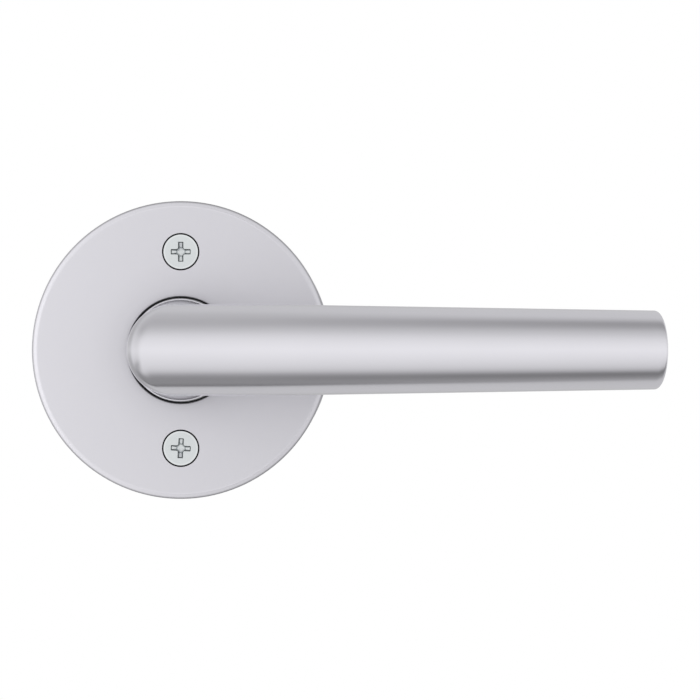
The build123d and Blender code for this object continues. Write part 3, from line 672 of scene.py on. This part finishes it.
def screw_rings():
    """Rings of one screw about its own axis, from the recess's floor to the tip."""
    slope = math.tan(math.radians(HEAD_ANGLE / 2))
    turns = [2 * math.pi * k / SCREW_SIDES for k in range(SCREW_SIDES)]
    rings = []

    def add_ring(height, radii):
        rings.append([(r * math.cos(a), r * math.sin(a), height) for a, r in zip(turns, radii)])

    def add_circle(height, radius):
        add_ring(height, [radius] * SCREW_SIDES)

    for depth, reach, half_width, corner in reversed(RECESS_RINGS):
        add_ring(
            HEAD_TOP - depth * MM,
            [recess_radius(a, reach * MM, half_width * MM, corner * MM) for a in turns],
        )
    land_width = HEAD_RADIUS - HEAD_BEVEL - LAND_RADIUS
    for share in (0.3, 0.7, 0.97):
        add_circle(HEAD_TOP, LAND_RADIUS + land_width * share)
    for radius, height in reversed(quarter_round(HEAD_RADIUS, HEAD_TOP - HEAD_BEVEL, HEAD_BEVEL, 4)):
        add_circle(height, radius)
    cone_foot = HEAD_TOP - HEAD_RIM - (HEAD_RADIUS - SCREW_RADIUS) / slope
    add_circle(HEAD_TOP - HEAD_RIM, HEAD_RADIUS)
    add_circle(cone_foot, SCREW_RADIUS)

    # The thread fades in over its first rows and out over its last, where the tip narrows.
    thread_start = HEAD_TOP - PLAIN_SHANK
    tip = HEAD_TOP - SCREW_LENGTH
    rows = int((thread_start - tip) / THREAD_PITCH * THREAD_ROWS)
    for row in range(rows + 1):
        height = thread_start + (tip - thread_start) * row / rows
        near_tip = max(0, 1 - (rows - row) / TIP_ROWS)
        strength = min(1, row / FADE_ROWS, 1 - near_tip)
        radii = []
        for a in turns:
            turn = (height / THREAD_PITCH + a / (2 * math.pi)) % 1
            valley = 1 - min(1, abs(turn - 0.5) * VALLEY_SLOPE)
            cut = TIP_NARROWING * near_tip + valley * strength
            radii.append(SCREW_RADIUS - THREAD_DEPTH * cut)
        add_ring(height, radii)
    add_circle(tip, 0.0)
    return rings


def make_screw(name, offset, degrees, material):
    """One flat-head screw, above or below the spindle, turned on its own axis."""
    turn = math.radians(degrees)
    rings = []
    for ring in screw_rings():
        rings.append([
            to_inside(
                x * math.cos(turn) + y * math.sin(turn),
                y * math.cos(turn) - x * math.sin(turn) + offset,
                out,
            )
            for x, y, out in ring
        ])
    mesh = skin_rings(name, rings)
    close_mesh(mesh)
    mesh.materials.append(material)
    mesh.set_sharp_from_angle(angle=SHARP_ANGLE)
    screw = object_from(name, mesh)
    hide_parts("mounting_screws")
    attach(screw, "root")


# ---------------------------------------------------------------- catch springs
SPRING_TURNS = 6.5
SPRING_STEPS = 36  # along each turn
WIRE_SIDES = 12
WIRE_RADIUS = 0.22 * MM


def spring_advance(turns, length):
    """How far a coil has come after some turns: its two end turns lie closed."""
    closed = 2 * WIRE_RADIUS
    if turns < 1:
        return closed * turns
    if turns > SPRING_TURNS - 1:
        return length - closed * (SPRING_TURNS - turns)
    return closed + (length - 2 * closed) * (turns - 1) / (SPRING_TURNS - 2)


def spring_rings(low, high):
    """Rings of points along a coil's wire, from one closed end to the other."""
    axis = Vector((1, 0, 0))
    middle = (low + high) / 2
    radius = (high.z - low.z) / 2 - WIRE_RADIUS
    length = high.x - low.x - 2 * WIRE_RADIUS
    rings = []
    centres = []
    for step in range(round(SPRING_TURNS * SPRING_STEPS) + 1):
        turns = step / SPRING_STEPS
        angle = 2 * math.pi * turns
        outward = Vector((0, math.cos(angle), math.sin(angle)))
        x = low.x + WIRE_RADIUS + spring_advance(turns, length)
        centre = Vector((x, middle.y, middle.z)) + radius * outward
        ring = []
        for side in range(WIRE_SIDES):
            a = 2 * math.pi * side / WIRE_SIDES
            ring.append(centre + WIRE_RADIUS * (math.cos(a) * outward + math.sin(a) * axis))
        rings.append(ring)
        centres.append(centre)
    return [[centres[0]] * WIRE_SIDES, *rings, [centres[-1]] * WIRE_SIDES]


def make_catch_spring(side, material):
    """The small spring behind a catch pin, which is squeezed as the pin is pressed."""
    name = f"{side}_catch_spring_coil"
    low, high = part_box(f"{side}_catch_spring")
    mesh = skin_rings(name, spring_rings(low, high))
    close_mesh(mesh)
    mesh.materials.append(material)
    mesh.set_sharp_from_angle(angle=SHARP_ANGLE)
    spring = object_from(name, mesh)
    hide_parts(f"{side}_catch_spring")
    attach(spring, f"{side}_handle")
    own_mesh(spring)


# ---------------------------------------------------------------- studio
FLOOR_HEIGHT = -0.25
FLOOR_HALF = 1.38


def make_floor():
    """Plain pale floor, below the picture."""
    mesh = bpy.data.meshes.new("floor")
    sides = [(-1, -1), (1, -1), (1, 1), (-1, 1)]
    corners = [(x * FLOOR_HALF, y * FLOOR_HALF, FLOOR_HEIGHT) for x, y in sides]
    mesh.from_pydata(corners, [], [(0, 1, 2, 3)])
    material = bpy.data.materials.new("floor")
    material.use_nodes = True
    shader = material.node_tree.nodes["Principled BSDF"]
    shader.inputs["Base Color"].default_value = (0.82, 0.82, 0.82, 1)
    shader.inputs["Roughness"].default_value = 0.9
    mesh.materials.append(material)
    floor = object_from("floor", mesh)
    floor.visible_glossy = False


def dome_ramp(tree, value, stops):
    """Brightness of the dome against an angle in turns from -0.5; stops are (degrees, level)."""
    ramp = add_node(tree, "ShaderNodeValToRGB", Fac=math_node(tree, "ADD", value, 0.5))
    set_stops(ramp.color_ramp, [(degrees / 360 + 0.5, level) for degrees, level in stops])
    return ramp.outputs["Color"]


# Brightness of the studio's dome, as (degrees, level).
# Front to back through the top and the bottom: degrees up from the front, minus is down.
FRONT_STOPS = (
    (-180, 0.64), (-105, 0.64), (-103, 0.12), (-99, 0.14), (-96, 0.27), (-90, 0.31), (-74, 0.31),
    (-65, 0.37), (-56, 0.62), (-50, 0.74), (-38, 0.84), (-27, 0.89), (-13, 0.95), (0, 0.99),
    (13, 0.95), (27, 0.89), (38, 0.80), (49, 0.67), (61, 0.57), (70, 0.53), (78, 0.53),
    (91, 0.56), (103, 0.58), (117, 0.65), (180, 0.65),
)
# The same a little to the right of the front, where the dim bands are narrower and darker.
RIGHT_STOPS = (
    (-180, 0.64), (-119, 0.64), (-107, 0.62), (-101, 0.42), (-90, 0.28), (-80, 0.19), (-74, 0.23),
    (-68, 0.46), (-61, 0.63), (-54, 0.72), (-38, 0.82), (-24, 0.90), (0, 0.99), (17, 0.92),
    (32, 0.82), (44, 0.69), (53, 0.62), (60, 0.54), (67, 0.43), (75, 0.37), (83, 0.35),
    (89, 0.43), (98, 0.59), (107, 0.68), (117, 0.68), (180, 0.65),
)
# To the sides, and then behind on the left: degrees up from level.
SIDE_STOPS = (
    (-90, 0.30), (-50, 0.33), (-35, 0.46), (-25, 0.72), (-12, 0.84), (0, 0.88), (20, 0.78),
    (50, 0.62), (90, 0.53),
)
BACK_STOPS = ((-90, 0.36), (-24, 0.45), (-12, 0.54), (0, 0.70), (12, 0.58), (24, 0.52), (90, 0.53))
BACK_LEFT = math.radians(144)  # middle of the part behind on the left, from the front
TWIST = 1.0  # how far the dim floor swings towards the back on the left

LAMP_PLACE = (-0.13, -0.08, 0)
LAMP_WIDTH = 0.08
LAMP_HEIGHT = 0.20
LAMP_POWER = 0.215  # watts


def make_studio_light():
    """Soft studio dome: bright in front, paler above and behind, dim below."""
    world = bpy.data.worlds.new("studio")
    bpy.context.scene.world = world
    world.use_nodes = True
    tree = world.node_tree
    background = tree.nodes["Background"]
    way = tree.nodes.new("ShaderNodeTexCoord").outputs["Generated"]
    parts = separate(tree, way)
    front = math_node(tree, "MULTIPLY", parts["Y"], -1)
    down = math_node(tree, "MINIMUM", parts["Z"], 0)
    leaning = math_node(tree, "MULTIPLY", parts["X"], down)
    twisted = math_node(tree, "ADD", front, math_node(tree, "MULTIPLY", leaning, TWIST))
    angle = math_node(tree, "ARCTAN2", parts["Z"], twisted)
    around = math_node(tree, "DIVIDE", angle, 2 * math.pi)
    up = math_node(tree, "DIVIDE", math_node(tree, "ARCSINE", parts["Z"]), 2 * math.pi)
    sideways = math_node(tree, "ABSOLUTE", parts["X"])
    back_left = weigh(tree, parts["X"], -math.sin(BACK_LEFT), front, math.cos(BACK_LEFT))
    # Each look fades into the next as one part of the direction, of -1 to 1, grows.
    to_right = soft_share(tree, parts["X"], 0.0, 0.07)
    to_side = soft_share(tree, sideways, 0.50, 0.85)
    to_back = soft_share(tree, back_left, 0.60, 0.85)
    dome = dome_ramp(tree, around, FRONT_STOPS)
    dome = blend(tree, to_right, dome, dome_ramp(tree, around, RIGHT_STOPS))
    dome = blend(tree, to_side, dome, dome_ramp(tree, up, SIDE_STOPS))
    dome = blend(tree, to_back, dome, dome_ramp(tree, up, BACK_STOPS))
    # The camera itself sees plain white.
    camera_ray = tree.nodes.new("ShaderNodeLightPath").outputs["Is Camera Ray"]
    tree.links.new(blend(tree, camera_ray, dome, (1, 1, 1, 1)), background.inputs["Color"])


def make_side_lamp():
    """Weak soft lamp on the left that only the scattering surfaces show."""
    data = bpy.data.lights.new("side_lamp", "AREA")
    data.shape = "RECTANGLE"
    data.size = LAMP_WIDTH
    data.size_y = LAMP_HEIGHT
    data.energy = LAMP_POWER
    lamp = bpy.data.objects.new("side_lamp", data)
    lamp.location = LAMP_PLACE
    lamp.rotation_euler = (-lamp.location).to_track_quat("-Z", "Y").to_euler()
    lamp.visible_glossy = False
    lamp.visible_camera = False
    bpy.context.scene.collection.objects.link(lamp)


def make_camera():
    """Level camera, square to the rose."""
    data = bpy.data.cameras.new("camera")
    data.sensor_width = SENSOR_WIDTH
    data.lens = SENSOR_WIDTH * CAMERA_DISTANCE / VIEW_WIDTH
    camera = bpy.data.objects.new("camera", data)
    camera.location = (CAMERA_ASIDE, -ROSE_DEPTH - CAMERA_DISTANCE, 0)
    camera.rotation_euler = (math.pi / 2, 0, 0)
    bpy.context.scene.collection.objects.link(camera)
    bpy.context.scene.camera = camera


# ---------------------------------------------------------------- build
materials = make_materials()
for entry in frame["record"]["subparts"]:
    node = frame["nodes"][entry["node"]]
    for material_slot in node.material_slots:
        material_slot.material = materials[entry["material_slot"]]

lever_finish = satin_lever()
make_lever("inside", to_inside, lever_finish)
make_lever("outside", to_outside, lever_finish)
make_screw("upper_screw", SCREW_OFFSET, 0, materials["zinc_plated_screw"])
make_screw("lower_screw", -SCREW_OFFSET, RECESS_TURN, materials["zinc_plated_screw"])
make_catch_spring("inside", materials["spring_steel"])
make_catch_spring("outside", materials["spring_steel"])
make_floor()
make_studio_light()
make_side_lamp()
make_camera()
bpy.context.scene.view_settings.view_transform = "Standard"
